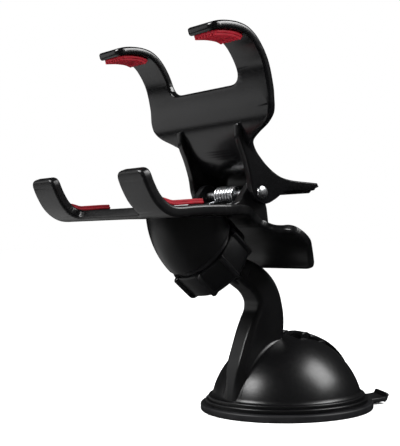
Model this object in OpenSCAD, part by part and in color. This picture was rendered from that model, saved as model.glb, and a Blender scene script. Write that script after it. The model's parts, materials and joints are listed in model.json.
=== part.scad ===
// Car phone mount: a spring clip with two jaws, on a ball joint, an S-shaped arm and a lever-locked
// suction base. Millimetres. The origin is the centre of the suction base, on the surface that it
// sticks to; +Z is up, -Y is the side that the phone faces, and the clip is symmetric about X = 0.

/* [Suction base] */
// Outer radius of the rubber disc
disc_r = 32.3; // [31.6:0.1:34]
// Thickness of the rubber rim
rim_t = 2.6; // [2.2:0.1:2.8]
// Radius of the sphere that the dome follows
dome_r = 28.6; // [28.4:0.1:28.8]
// Height of the dome's top
dome_top = 27.5; // [27.3:0.1:27.7]
// Wall of the dome
dome_wall = 2.2; // [1.8:0.1:2.4]
// How far the lever lifts the middle of the rubber
pull_travel = 3; // [2.6:0.1:3]

/* [Arm] */
// Width of the arm
arm_w = 10; // [8:0.5:10]

/* [Ball joint] */
// Radius of the ball
ball_r = 9; // [8.9:0.05:9.05]
// Radius of the lock nut over its ridges
nut_r = 15; // [14.6:0.1:15.2]
// Number of ridges on the lock nut
nut_ridges = 8; // [6:1:12]

/* [Clip] */
// Width of the clip over its fingers
clip_w = 66; // [64:1:68]
// Width of one finger
finger_w = 14; // [12:0.5:15]
// Radius of the pivot pin
pin_r = 1.5; // [1.4:0.05:1.6]
// Wire of the closing spring
wire_r = 0.6; // [0.4:0.05:0.7]
// Thickness of the rubber pads
pad_t = 1.6; // [1.2:0.1:1.8]

/* [Hidden] */
$fn = 96;
round_fn = 48;                       // facets of the rounds that a hull joins
smooth = 8;                          // straight pieces that an outline has between two of its points
gap = 0.1;                           // running clearance of the ball, the pins and the cam
loose = 0.3;                         // clearance of parts that pass each other
reach = 40;                          // further than any part goes, for cuts

dome_z = dome_top - dome_r;          // centre of the dome's sphere
ring_r = 30.3;
ring_top = rim_t + 1.6;
flange_r = 29.3;
flange_t = 1.2;
membrane_r = 24;
membrane_t = 1.2;
membrane_up = 3;                     // underside of the membrane's middle, with the lever down
membrane_flat = 9;                   // radius of the membrane's flat middle
tab_turn = -28;                      // the pull tab points to the rear and to the right
tab_w = 12;
screw_ring_r = 25.8;
screw_r = 0.9;
lever_pin_y = 3.2;
lever_pin_z = 25.2;
lever_pin_r = 1.25;
cam_r = 5.6;                         // pin to well floor with the lever down
well_floor = lever_pin_z - cam_r - gap;
cheek_in = 2.5;                      // faces of the lever's two cams
cheek_out = 8;

ball_y = -35.3;
ball_z = 56.4;
seat_r = ball_r + gap;               // inside of the cup and of the friction ring
shell_r = seat_r + 1.1;              // outside of the cup and of the friction ring
socket_r = shell_r + gap;
joint_turn = 229.5;                  // turns +Z onto the axis of the housing, down and to the rear
neck_turn = 250;                     // turns +Z onto the neck of the arm
seam = -7.6;                         // end of the housing, along its axis from the ball
seam_r = 13.6;
collar_end = -0.2;
collar_r = 12.2;                     // the thread's radius
nut_start = -6;
nut_end = 5.1;
arm_screw_y = -12;
arm_screw_r = 1.2;

pin_y = -26.3;
pin_z = 79.3;
half_w = clip_w / 2;
finger_in = half_w - finger_w;
plate_top = 74.8;                    // the lower jaw's plate
plate_under = 71.3;
housing_screw_x = 7.5;
housing_screw_y = -50;
housing_screw_r = 1.2;
screw_seat = 73.2;                   // underside of the housing screws' heads
ear_in = 11;
ear_out = 14;
cheek_t = 3;
jaw_in = ear_out + loose;            // faces of the upper jaw's two cheeks
jaw_out = jaw_in + cheek_t;

BLACK = [0.13, 0.13, 0.14];
GLOSS = [0.08, 0.08, 0.09];
RUBBER = [0.16, 0.16, 0.17];
RED = [0.72, 0.12, 0.18];
STEEL = [0.75, 0.76, 0.78];
NYLON = [0.2, 0.2, 0.21];

// A point of the smooth curve that passes through p1 and p2, at t from 0 to 1 between them
function bend(p0, p1, p2, p3, t) = 0.5 * (2 * p1 + (p2 - p0) * t + (2 * p0 - 5 * p1 + 4 * p2 - p3) * t * t
    + (3 * p1 - p0 - 3 * p2 + p3) * t * t * t);
// A smooth open curve through every point of a list
function curve(p) = let (n = len(p) - 1)
    [for (i = [0:n - 1]) for (k = [0:smooth - 1])
        bend(p[max(i - 1, 0)], p[i], p[i + 1], p[min(i + 2, n)], k / smooth), p[n]];
// An arc about c, from angle a to angle b
function arc(c, r, a, b, n = 10) = [for (i = [0:n]) let (t = a + (b - a) * i / n)
    c + r * [cos(t), sin(t)]];
// The other side's copy of a list of points, in the order that closes an outline
function other_side(p) = [for (i = [len(p) - 1:-1:0]) [-p[i][0], p[i][1]]];

// An outline in Y and Z, made thick from x0 to x1
module side_plate(outline, x0, x1) {
    translate([x0, 0, 0]) rotate([90, 0, 90]) linear_extrude(x1 - x0) polygon(outline);
}
// An outline in X and Z, made thick from y0 to y1
module front_plate(outline, y0, y1) {
    translate([0, y1, 0]) rotate([90, 0, 0]) linear_extrude(y1 - y0) polygon(outline);
}
// A rod along X, about the point y, z
module cross_rod(y, z, r, x0, x1) {
    translate([x0, y, z]) rotate([0, 90, 0]) cylinder(r = r, h = x1 - x0);
}
module at_ball(turn) {
    translate([0, ball_y, ball_z]) rotate([turn, 0, 0]) children();
}
module both_sides() {
    children();
    mirror([1, 0, 0]) children();
}

// ---- suction base ----

// The rubber rim, with a pull tab that ends in a lip
module suction_disc() color(RUBBER) difference() {
    union() {
        rotate_extrude() polygon([[membrane_r, 0], [disc_r - 0.4, 0], [disc_r, 0.5],
            [disc_r, rim_t - 0.5], [disc_r - 0.6, rim_t], [membrane_r, rim_t]]);
        rotate([0, 0, tab_turn]) translate([-tab_w / 2, disc_r - 4, 0.6]) {
            cube([tab_w, 9.4, 1.6]);
            translate([0, 7.4, 0]) cube([tab_w, 2.4, 3.4]);
        }
    }
    translate([0, 0, -1]) cylinder(r = membrane_r, h = rim_t + 2);
}

// The thin middle of the rubber: the stem holds it up in the middle
module suction_membrane() color(RUBBER) {
    rotate_extrude() polygon([[0, membrane_up], [membrane_flat, membrane_up], [membrane_r - 0.02, 0.2],
        [membrane_r - 0.02, 0.2 + membrane_t], [membrane_flat, membrane_up + membrane_t],
        [0, membrane_up + membrane_t]]);
}

module ring_screw_places() {
    for (turn = [30, 150, 270])
        rotate([0, 0, turn]) translate([screw_ring_r, 0, 0]) children();
}

// Clamps the rubber under the dome
module base_ring() color(BLACK) difference() {
    rotate_extrude() polygon([[membrane_r, rim_t], [ring_r, rim_t], [ring_r, ring_top - 0.4],
        [ring_r - 0.4, ring_top], [membrane_r, ring_top]]);
    ring_screw_places() translate([0, 0, rim_t - 1]) {
        cylinder(r = screw_r, h = 4);
        cylinder(r = screw_r + 0.65, h = 1.8);
    }
}

module dome_outside() {
    translate([0, 0, dome_z]) sphere(r = dome_r);
}

// Inside of the dome, round the bosses, the well that the cams stand in and the arm screw's post
module dome_inside() difference() {
    translate([0, 0, dome_z]) sphere(r = dome_r - dome_wall);
    ring_screw_places() translate([0, 0, ring_top]) cylinder(r = 2.2, h = 4);
    translate([-cheek_out - 2.5, -3.6, well_floor - 2]) cube([2 * cheek_out + 5, 16.4, 12]);
    translate([0, arm_screw_y, 17]) cylinder(r = 4.2, h = 12);
}

module base_dome() color(BLACK) difference() {
    union() {
        intersection() {
            dome_outside();
            translate([0, 0, ring_top]) cylinder(r = dome_r + 1, h = dome_r);
        }
        translate([0, 0, ring_top]) cylinder(r = flange_r, h = flange_t);
    }
    dome_inside();
    // the well, and the slot in its floor for the stem
    translate([-cheek_out - 0.5, -1.6, well_floor]) cube([2 * cheek_out + 1, 12.4, 12]);
    translate([-3, -3.4, 10]) cube([6, 10.4, 12]);
    ring_screw_places() translate([0, 0, ring_top - 1]) cylinder(r = screw_r, h = 4);
    translate([0, arm_screw_y, 10]) cylinder(r = arm_screw_r + gap, h = 20);
}

module ring_screws() color(STEEL) ring_screw_places() translate([0, 0, rim_t]) {
    cylinder(r = screw_r - 0.02, h = 4.4);
    cylinder(r = screw_r + 0.6, h = 0.8);
}

// ---- arm ----

// Side view: the rear edge from the ball down, and the front edge from the foot up
arm_rear = curve([[-23, 57], [-18.6, 55.8], [-14.2, 53.5], [-9.9, 50], [-6.6, 45.6], [-4.5, 40.5],
    [-3.8, 35], [-4.3, 30], [-5.2, 24]]);
arm_front = curve([[-28.8, 5.5], [-28.4, 10.5], [-26.5, 16], [-22, 25.9], [-18.2, 33.6], [-16.3, 37.4],
    [-16.1, 40.4], [-18, 43.3], [-21.6, 45.9], [-25.6, 48.4]]);

// The neck that carries the ball, and the peg inside the ball
module neck() at_ball(neck_turn) {
    translate([0, 0, 8]) cylinder(r1 = 3.9, r2 = 5, h = 7);
    translate([0, 0, 3]) cylinder(r = 3, h = 9);
}

module arm() color(BLACK) difference() {
    union() {
        side_plate(concat(arm_rear, [[-8, 5.5]], arm_front), -arm_w / 2, arm_w / 2);
        neck();
    }
    dome_outside();
    translate([0, arm_screw_y, 10]) cylinder(r = arm_screw_r, h = 24);
}

module arm_screw() color(STEEL) translate([0, arm_screw_y, 14.4]) {
    cylinder(r = arm_screw_r - 0.02, h = 18);
    cylinder(r = 2.6, h = 2.6);
}

module ball() color(GLOSS) difference() {
    at_ball(neck_turn) sphere(r = ball_r);
    neck();
}

// ---- pull stem and lever ----

eye_r = 2.5;                         // the eye on top of the stem
eye_x = 1.9;                         // half of its thickness

// Carries the middle of the rubber on a round foot, and the lever's pin in its eye
module pull_stem() color(NYLON) difference() {
    union() {
        translate([0, 0, membrane_up + membrane_t]) {
            cylinder(r = membrane_flat, h = 1.4);
            cylinder(r = 2.4, h = 13);
        }
        side_plate([[-2, 14], [2, 14], [lever_pin_y + eye_r, lever_pin_z],
            [lever_pin_y - eye_r, lever_pin_z]], -eye_x, eye_x);
        cross_rod(lever_pin_y, lever_pin_z, eye_r, -eye_x, eye_x);
    }
    cross_rod(lever_pin_y, lever_pin_z, lever_pin_r + 0.06, -reach, reach);
}

// The pin goes in from the left, and its bore ends inside the right-hand cam
pin_stop = cheek_out - 1.4;
module lever_pin() color(STEEL) {
    cross_rod(lever_pin_y, lever_pin_z, lever_pin_r, -cheek_out + 0.2, pin_stop);
}

// The cam is an involute, so the stem rises evenly as the lever comes down
lever_turn = 90;
cam_low = cam_r - pull_travel;
cam_rate = pull_travel / lever_turn;
cam = [for (a = [180:6:180 + lever_turn]) [lever_pin_y, lever_pin_z]
    + (cam_low + cam_rate * (a - 180)) * [cos(a), sin(a)] + cam_rate * 180 / PI * [-sin(a), cos(a)]];

// Outline of the handle from above, for its right half
handle_side = curve([[cheek_out, 4], [cheek_out, 9], [8.6, 15], [9.4, 20], [9, 24]]);

module lock_lever() color(GLOSS) difference() {
    union() {
        // the cams, on each side of the stem
        side_plate(concat(cam, [[6.4, 21.2], [8, 23.4], [8, 26.7]],
            arc([lever_pin_y, lever_pin_z], 3.1, 40, 130), [[lever_pin_y - cam_low, lever_pin_z]]),
            -cheek_out, cheek_out);
        // the handle lies on the dome
        intersection() {
            translate([0, 0, dome_z]) difference() {
                sphere(r = dome_r + loose + 1.2);
                sphere(r = dome_r + loose);
            }
            linear_extrude(40) polygon(concat([[0, 4]], handle_side, [[5, 25.9], [-5, 25.9]],
                other_side(handle_side)));
        }
    }
    translate([-cheek_in, -6, 10]) cube([2 * cheek_in, 12.6, 20]);
    cross_rod(lever_pin_y, lever_pin_z, lever_pin_r, -reach, pin_stop);
}

// ---- ball joint ----

// The hard cup that the ball sits in
module seat_cup() color(NYLON) at_ball(joint_turn) difference() {
    sphere(r = shell_r);
    sphere(r = seat_r);
    translate([0, 0, -6]) cylinder(r = reach, h = reach);
}

// The soft ring that the nut presses on the ball
module friction_ring() color(RUBBER) at_ball(joint_turn) difference() {
    intersection() {
        sphere(r = shell_r);
        translate([0, 0, 0.4]) cylinder(r = reach, h = 3.4);
    }
    sphere(r = seat_r);
}

// Outside of the bell: a round flange under the plate runs into the round seam
module bell() difference() {
    hull() {
        translate([0, -47, 70.2]) cylinder(r = 13.4, h = 0.8, $fn = round_fn);
        translate([0, -46.6, 66.4]) cylinder(r = 14, h = 0.4, $fn = round_fn);
        at_ball(joint_turn) translate([0, 0, seam - 4]) cylinder(r = 14.1, h = 0.4, $fn = round_fn);
        at_ball(joint_turn) translate([0, 0, seam]) cylinder(r = seam_r, h = 1, $fn = round_fn);
    }
    at_ball(joint_turn) translate([0, 0, seam]) cylinder(r = reach, h = reach);
}

module socket_housing() color(BLACK) difference() {
    union() {
        bell();
        at_ball(joint_turn) translate([0, 0, seam - 4]) cylinder(r = collar_r, h = collar_end - seam + 4);
    }
    translate([-reach, -2 * reach, plate_under - loose]) cube(2 * reach);
    at_ball(joint_turn) sphere(r = socket_r);
    both_sides() translate([housing_screw_x, housing_screw_y, 62]) cylinder(r = housing_screw_r, h = 12);
}

nut_body_r = seam_r - 0.1;
nut_rim_r = 12.6;
bevel = 0.9;                         // of the nut's two ends
ridge_foot = 2.2;                    // half of the width of a ridge at its foot, and at its top
ridge_crest = 0.7;
nut_phase = 15;

module lock_nut() color(BLACK) at_ball(joint_turn) difference() {
    union() {
        translate([0, 0, nut_start]) cylinder(r = nut_body_r, h = nut_end - bevel - nut_start);
        translate([0, 0, nut_end - bevel]) cylinder(r1 = nut_body_r, r2 = nut_rim_r, h = bevel);
        intersection() {
            for (i = [0:nut_ridges - 1]) rotate([0, 0, nut_phase + 360 / nut_ridges * i])
                linear_extrude(14, center = true) polygon([[0, ridge_foot],
                    [nut_body_r - 0.4, ridge_foot], [nut_r, ridge_crest], [nut_r, -ridge_crest],
                    [nut_body_r - 0.4, -ridge_foot], [0, -ridge_foot]]);
            union() {
                translate([0, 0, nut_start]) cylinder(r1 = nut_r - 0.8, r2 = nut_r, h = bevel);
                translate([0, 0, nut_start + bevel])
                    cylinder(r = nut_r, h = nut_end - nut_start - 2 * bevel);
                translate([0, 0, nut_end - bevel]) cylinder(r1 = nut_r, r2 = nut_rim_r, h = bevel);
            }
        }
    }
    sphere(r = socket_r);
    translate([0, 0, seam]) cylinder(r = collar_r + gap, h = -seam);
    // the mouth that the arm comes out of
    translate([0, 0, 2]) cylinder(r1 = 8.4, r2 = 10.4, h = 4);
}

// ---- lower jaw ----

// Side view of the plate and the fingers
lower_outer = curve([[-88.3, 84.6], [-87.6, 82.4], [-86, 78.6], [-82.6, 74.2], [-79, 71.4], [-75, 70.5],
    [-67.5, 71], [-60, plate_under], [-45, plate_under], [-36, plate_under]]);
lower_inner = curve([[-36, plate_top], [-45, plate_top], [-60, plate_top], [-67.5, 74.6], [-74.6, 74.1],
    [-78.2, 74.9], [-81.2, 77.6], [-83, 81], [-84.6, 84.2]]);
lower_profile = concat(lower_outer, lower_inner, [[-85.4, 85.2], [-87.6, 85.4]]);
lower_tip = 85.3;

// Outline of the plate and the fingers from above: the right half, from the front
root_half = 22;                      // half of the width where the plate runs into the neck
root_y = -37;
plate_side = concat([[finger_in, -100], [half_w, -100]],
    curve([[half_w, -54], [31.3, -49], [27.5, -43.5], [root_half, root_y]]));
plate_outline = concat(plate_side, other_side(plate_side),
    arc([-finger_in + 4, -79], 4, 180, 90), arc([finger_in - 4, -79], 4, 90, 0));

// Front view of the two finger tips
module finger_tips(top, tip_r) {
    for (side = [-1, 1]) translate([side * (half_w - finger_w / 2), 0, 0]) hull() {
        for (end = [-1, 1])
            translate([end * (finger_w / 2 - tip_r), -50, top - tip_r]) rotate([90, 0, 0])
                cylinder(r = tip_r, h = 50, $fn = 32);
        translate([-finger_w / 2, -100, 60]) cube([finger_w, 50, 1]);
    }
}

// The neck bends down from the plate into the paddle, the jaw's own tail
paddle_half = 27.8;
paddle_low = 52.5;
neck_half = 14;
neck_top = curve([[-40, plate_top], [-32, plate_top], [-28.5, 74.2], [-26.2, 73.1], [-23.4, 71.3],
    [-21.2, 69.5], [-18.4, 67.2], [-15.4, 65.1], [-12.2, 62.6], [-9.6, 59.2], [-8.5, 55.6],
    [-8.4, paddle_low]]);
neck_under = curve([[-11.2, 54.4], [-11.4, 56.2], [-12.2, 58.2], [-14.1, 60.5], [-17.2, 62.9],
    [-20.3, 65.1], [-23.1, 67.3], [-25.6, 69.1], [-28.3, 70.6], [-32, plate_under], [-40, plate_under]]);
neck_profile = concat(neck_top, [[-9.7, paddle_low]], neck_under);
// Right edge of the neck from above, and right edge of the neck and the paddle from the front
neck_side = curve([[root_half, root_y - 0.4], [17, -31.5], [14.4, -27.5], [neck_half, -24]]);
paddle_side = concat([[neck_half, 76]],
    curve([[neck_half, 71], [14.8, 69.2], [17.2, 68.5], [20.5, 68.3], [23.5, 68.4], [26, 68], [27.4, 66.8],
        [paddle_half, 65], [27.2, 62.9], [25.9, 60.7], [25, 58.2], [24.7, 55.8], [24.6, 54.1],
        [23.9, 52.9], [22.3, paddle_low]]));

// Side view of the two ears that hold the pivot pin
ear = concat(arc([pin_y, pin_z], 4, 150, -5), [[-20.8, 74], [-20, 67.6], [-23.4, 69.6], [-27.6, 72],
    [-38, 72.6], [-38, 74.6], [-34, 76.4]]);

module lower_jaw() color(BLACK) difference() {
    union() {
        // plate and fingers
        intersection() {
            side_plate(lower_profile, -half_w, half_w);
            translate([0, 0, 60]) linear_extrude(reach) polygon(plate_outline);
            union() {
                finger_tips(lower_tip, 3);
                translate([-reach, -78, 60]) cube([2 * reach, 60, 18]);
            }
        }
        // paddle, and the neck's middle
        intersection() {
            side_plate(neck_profile, -paddle_half, paddle_half);
            front_plate(concat(paddle_side, other_side(paddle_side)), root_y, 0);
        }
        // neck
        intersection() {
            side_plate(neck_profile, -root_half, root_half);
            translate([0, 0, 60]) linear_extrude(reach)
                polygon(concat(neck_side, other_side(neck_side)));
        }
        both_sides() side_plate(ear, ear_in, ear_out);
    }
    cross_rod(pin_y, pin_z, pin_r + 0.05, -reach, reach);
    // room for the nut, and the housing's screws
    at_ball(joint_turn) translate([0, 0, nut_start - 0.5]) cylinder(r = nut_r + 0.5, h = 20);
    both_sides() translate([housing_screw_x, housing_screw_y, 0]) {
        translate([0, 0, 60]) cylinder(r = housing_screw_r + gap, h = 20);
        translate([0, 0, screw_seat]) cylinder(r = 2.5, h = 5);
    }
}

// Two screws with crossed slots hold the housing to the plate
module housing_screws() color(STEEL) both_sides() translate([housing_screw_x, housing_screw_y, 0]) {
    translate([0, 0, 64]) cylinder(r = housing_screw_r, h = screw_seat - 64);
    translate([0, 0, screw_seat]) difference() {
        cylinder(r = 2.4, h = 1.3);
        for (turn = [0, 90])
            rotate([0, 0, turn]) translate([-1.4, -0.3, 0.6]) cube([2.8, 0.6, 1]);
    }
}

// The part of a jaw's inner side that a pad lies on, then the same part raised, as one outline
function pad_outline(side, raise) = concat([for (p = side) p + raise],
    [for (i = [len(side) - 1:-1:0]) side[i]]);
groove_w = 0.8;

// A pad on the plate at each finger's root, with a ribbed edge
lower_pad_seat = [for (p = lower_inner) if (p[0] < -62 && p[1] < 76.6) p];
module lower_pad() intersection() {
    difference() {
        side_plate(pad_outline(lower_pad_seat, [0, pad_t]), finger_in + 1.6, half_w - 1.6);
        for (i = [0:5])
            translate([finger_in + 2.4 + i * 1.8, -86, 74 + pad_t * 0.55]) cube([groove_w, 30, 4]);
    }
    translate([0, -79.5, 70]) cube([reach, 17, 12]);
}
module lower_pad_left() color(RED) mirror([1, 0, 0]) lower_pad();
module lower_pad_right() color(RED) lower_pad();

// ---- upper jaw ----

// Side view of the wide plate and its fingers
upper_outer = curve([[-24, 88.6], [-27.2, 91.8], [-30.4, 97], [-32.8, 102.6], [-33.6, 108], [-34, 113.4],
    [-36, 121.6], [-39.6, 128], [-44, 131.6], [-48.6, 133], [-53.6, 133], [-57.4, 132.4],
    [-60.4, 131.2]]);
upper_inner = curve([[-59.2, 129.3], [-56.4, 129.8], [-52.4, 130.2], [-48.6, 130.1], [-45.4, 129],
    [-42, 126], [-38.8, 120.6], [-36.9, 113.2], [-36.5, 108], [-35.8, 103], [-33.6, 98],
    [-30.6, 93.6], [-27.8, 90.6]]);
upper_tip_y = -60.6;

// Front view of the wide plate and its two fingers: the right half, from the bottom up
wide_side = concat([[jaw_out, 86]],
    curve([[jaw_out, 96.6], [22.6, 98.9], [28.6, 101.6], [32.2, 104.6], [half_w, 108]]),
    [[half_w, 140], [finger_in, 140]], arc([finger_in - 5, 121], 5, 0, -90));

// Side view of the cheeks: they carry the plate, turn on the pin and reach back as a tail
cheek = concat(
    curve([[-33.2, 103.4], [-30.4, 97], [-27.2, 91.8], [-22.4, 87.4], [-17, 84.9], [-11, 83.7],
        [-4, 83.3], [1.6, 82.9]]),
    curve([[2.2, 81.7], [-3.4, 80.2], [-9.6, 80.2], [-15, 79.6], [-19.4, 77.2], [-22.8, 75.7],
        [-25.6, 75.6], [-28.6, 77], [-30.4, 80.4], [-31.4, 86], [-33.4, 92], [-36, 98],
        [-36.4, 103.4]]));
tail_back = curve([[-27.2, 91.8], [-22.4, 87.4], [-17, 84.9], [-11, 83.7], [-4, 83.3], [1.8, 82.9]]);
tail_under = [for (i = [len(tail_back) - 1:-1:0]) tail_back[i] - [1.1, 1.9]];
tail_lip = [[-2, 83.2], [1.8, 82.9], [2.2, 81.7], [-0.4, 79.4], [-3.6, 79.3]];

// The two fingers from above, with rounded tips
module upper_tips(tip_r) {
    for (side = [-1, 1]) translate([side * (half_w - finger_w / 2), 0, 120]) hull()
        for (end = [-1, 1]) {
            translate([end * (finger_w / 2 - tip_r), upper_tip_y + tip_r, 0])
                cylinder(r = tip_r, h = 20, $fn = 32);
            translate([end * (finger_w / 2 - 0.5), -48, 0]) cylinder(r = 0.5, h = 20, $fn = 32);
        }
}

module upper_jaw() color(GLOSS) difference() {
    union() {
        // wide plate and fingers
        intersection() {
            side_plate(concat(upper_outer, upper_inner), -half_w, half_w);
            front_plate(concat(wide_side, other_side(wide_side)), -70, -10);
            union() {
                translate([-reach, -52, 80]) cube([2 * reach, 60, 60]);
                upper_tips(3);
            }
        }
        both_sides() side_plate(cheek, jaw_in, jaw_out);
        // back plate and tail between the cheeks
        side_plate(concat(tail_back, tail_under), -jaw_in, jaw_in);
        side_plate(tail_lip, -jaw_in, jaw_in);
    }
    cross_rod(pin_y, pin_z, pin_r, -reach, reach);
}

// A pad under each finger, with a ribbed edge
upper_pad_seat = [for (p = upper_inner) if (p[0] < -45 && p[1] > 127) p];
module upper_pad() intersection() {
    difference() {
        side_plate(pad_outline(upper_pad_seat, [0, -pad_t]), finger_in + 1.2, half_w - 1.2);
        for (i = [0:5]) translate([finger_in + 2 + i * 1.9, -64, 124]) cube([groove_w, 30, 4.7]);
    }
    translate([0, -58.2, 120]) cube([reach, 16, 12]);
}
module upper_pad_left() color(RED) mirror([1, 0, 0]) upper_pad();
module upper_pad_right() color(RED) upper_pad();

// ---- pivot ----

module pivot_pin() color(STEEL) {
    cross_rod(pin_y, pin_z, pin_r, -jaw_out - 1.2, jaw_out);
    cross_rod(pin_y, pin_z, 2.3, jaw_out, jaw_out + 0.8);
}

module pin_cap() color(STEEL) difference() {
    cross_rod(pin_y, pin_z, 2.5, -jaw_out - 1, -jaw_out);
    cross_rod(pin_y, pin_z, pin_r, -reach, reach);
}

// The spring's coil lies round the pin between the ears. One leg presses on the plate, and the other
// reaches back under the tail and stops short of it by the angle that the jaw can still open
coil_r = pin_r + 0.5 + wire_r;
coil_half = 5;
turns = 6;
turn_steps = 12;
coil_steps = turns * turn_steps + 7; // whole turns, and on to where the rear leg leaves the coil
front_leg = [[-coil_half, pin_y - 8.4, plate_top + wire_r],
    [-coil_half, pin_y - 2.4, pin_z - coil_r + 0.1]];
coil = [for (i = [0:coil_steps]) let (a = 270 - i * 360 / turn_steps)
    [coil_half * (2 * i / coil_steps - 1), pin_y + coil_r * cos(a), pin_z + coil_r * sin(a)]];
rear_leg = [[coil_half, pin_y + 9, pin_z - 1.6]];
spring_path = concat(front_leg, coil, rear_leg);

// A wire of round section, swept along the points of a path that never runs along X
module wire(path, r, sides = 8) {
    n = len(path);
    step = 360 / sides;
    rings = [for (i = [0:n - 1])
        let (t = path[min(i + 1, n - 1)] - path[max(i - 1, 0)], d = t / norm(t),
            u0 = [1, 0, 0] - d[0] * d, u = u0 / norm(u0), v = cross(d, u))
        for (k = [0:sides - 1]) path[i] + r * (cos(step * k) * u + sin(step * k) * v)];
    walls = [for (i = [0:n - 2]) for (k = [0:sides - 1])
        let (a = i * sides + k, b = i * sides + (k + 1) % sides)
        each [[a, b, b + sides], [a, b + sides, a + sides]]];
    first_end = [for (k = [sides - 1:-1:0]) k];
    last_end = [for (k = [0:sides - 1]) (n - 1) * sides + k];
    polyhedron(rings, concat([first_end], walls, [last_end]));
}
module closing_spring() color(STEEL) wire(spring_path, wire_r);

suction_disc();
suction_membrane();
base_ring();
base_dome();
ring_screws();
arm();
arm_screw();
ball();
pull_stem();
lever_pin();
lock_lever();
seat_cup();
friction_ring();
socket_housing();
lock_nut();
lower_jaw();
housing_screws();
lower_pad_left();
lower_pad_right();
upper_jaw();
upper_pad_left();
upper_pad_right();
pivot_pin();
pin_cap();
closing_spring();
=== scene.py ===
"""The looks of the car phone mount. Every length is in metres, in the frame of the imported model."""
import json
import math

import bmesh
import bpy
from mathutils import Matrix, Vector


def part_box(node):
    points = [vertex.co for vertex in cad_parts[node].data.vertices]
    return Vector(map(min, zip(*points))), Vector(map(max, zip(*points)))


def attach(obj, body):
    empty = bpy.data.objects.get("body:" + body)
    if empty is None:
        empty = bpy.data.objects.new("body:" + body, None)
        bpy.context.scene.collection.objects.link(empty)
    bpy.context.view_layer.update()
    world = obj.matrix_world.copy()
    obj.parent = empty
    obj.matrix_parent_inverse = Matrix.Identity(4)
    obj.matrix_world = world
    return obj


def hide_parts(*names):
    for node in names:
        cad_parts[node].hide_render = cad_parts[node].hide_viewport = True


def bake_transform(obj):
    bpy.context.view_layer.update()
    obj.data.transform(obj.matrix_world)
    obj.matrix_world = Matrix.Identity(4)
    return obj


MM = 0.001

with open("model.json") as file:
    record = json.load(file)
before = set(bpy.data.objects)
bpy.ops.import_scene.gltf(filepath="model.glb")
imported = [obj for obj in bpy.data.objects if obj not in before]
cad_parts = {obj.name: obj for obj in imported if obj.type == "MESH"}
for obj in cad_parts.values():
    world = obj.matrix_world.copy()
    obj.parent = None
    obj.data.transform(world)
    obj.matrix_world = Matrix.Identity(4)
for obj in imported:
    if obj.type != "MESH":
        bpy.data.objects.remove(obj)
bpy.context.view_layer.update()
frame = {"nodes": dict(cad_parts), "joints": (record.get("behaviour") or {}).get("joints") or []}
HINGE = {joint["name"]: joint for joint in frame["joints"]}


# ---- outlines ----


def curve(points, steps=8):
    """A smooth open line through every point of a list (Catmull-Rom)."""
    line = []
    last = len(points) - 1
    for i in range(last):
        p0, p1, p2, p3 = (Vector(points[min(max(i + k, 0), last)]) for k in (-1, 0, 1, 2))
        for step in range(steps):
            t = step / steps
            line.append(0.5 * (2 * p1 + (p2 - p0) * t + (2 * p0 - 5 * p1 + 4 * p2 - p3) * t * t
                               + (3 * p1 - p0 - 3 * p2 + p3) * t ** 3))
    line.append(Vector(points[last]))
    return line


def arc(centre, radius, start, end, steps=10):
    """An arc about a centre, between two angles in degrees."""
    angles = [math.radians(start + (end - start) * i / steps) for i in range(steps + 1)]
    return [Vector((centre[0] + radius * math.cos(a), centre[1] + radius * math.sin(a))) for a in angles]


def rounded(points, radius, steps=5, closed=True):
    """A polyline with its corners rounded. radius is one number, or one for each point."""
    count = len(points)
    radii = radius if isinstance(radius, (list, tuple)) else [radius] * count
    line = []
    for i, point in enumerate(points):
        here = Vector(point)
        if not closed and i in (0, count - 1):
            line.append(here)
            continue
        before = Vector(points[i - 1]) - here
        after = Vector(points[(i + 1) % count]) - here
        if min(before.length, after.length) < 1e-6:
            line.append(here)
            continue
        turn = before.angle(after)
        reach = min(radii[i] / math.tan(turn / 2), before.length * 0.49, after.length * 0.49)
        if reach < 1e-4:
            line.append(here)
            continue
        a = here + before.normalized() * reach
        b = here + after.normalized() * reach
        for step in range(steps + 1):
            t = step / steps
            line.append(a * (1 - t) ** 2 + here * 2 * t * (1 - t) + b * t * t)
    return line


def both_halves(half):
    """The whole outline from its right half, whose ends may lie on the middle line."""
    return [Vector(p) for p in half] + [Vector((-p[0], p[1])) for p in reversed(half) if abs(p[0]) > 1e-6]


def signed_area(points):
    """A closed outline's area, which is negative where it runs clockwise."""
    return 0.5 * sum(a[0] * b[1] - b[0] * a[1] for a, b in zip(points, points[1:] + points[:1]))


def without_doubles(points, least=0.02):
    """A closed outline without the points that lie too close to the one before."""
    kept = []
    for p in points:
        if not kept or (Vector(p) - kept[-1]).length > least:
            kept.append(Vector(p))
    if (kept[0] - kept[-1]).length <= least:
        kept.pop()
    return kept


def inset(points, amount):
    """A closed anticlockwise outline, moved inwards by an amount."""
    moved = []
    count = len(points)
    for i, point in enumerate(points):
        before = (point - points[i - 1]).normalized()
        after = (points[(i + 1) % count] - point).normalized()
        normal = Vector((-(before + after)[1], (before + after)[0]))
        if normal.length < 1e-6:
            moved.append(point.copy())
            continue
        normal.normalize()
        lean = max(normal.dot(Vector((-after[1], after[0]))), 0.5)
        moved.append(point + normal * amount / lean)
    return moved


# ---- meshes ----


def finish_mesh(name, bm, normals=None, smooth_angle=40):
    """Makes an object from a bmesh in millimetres, shaded smooth up to an angle or by given normals."""
    bmesh.ops.scale(bm, vec=(MM, MM, MM), verts=bm.verts)
    mesh = bpy.data.meshes.new(name)
    bm.to_mesh(mesh)
    bm.free()
    piece = bpy.data.objects.new(name, mesh)
    bpy.context.collection.objects.link(piece)
    mesh.polygons.foreach_set("use_smooth", [True] * len(mesh.polygons))
    if normals is not None:
        mesh.normals_split_custom_set_from_vertices(normals)
    else:
        mesh.set_sharp_from_angle(angle=math.radians(smooth_angle))
    return piece


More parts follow.
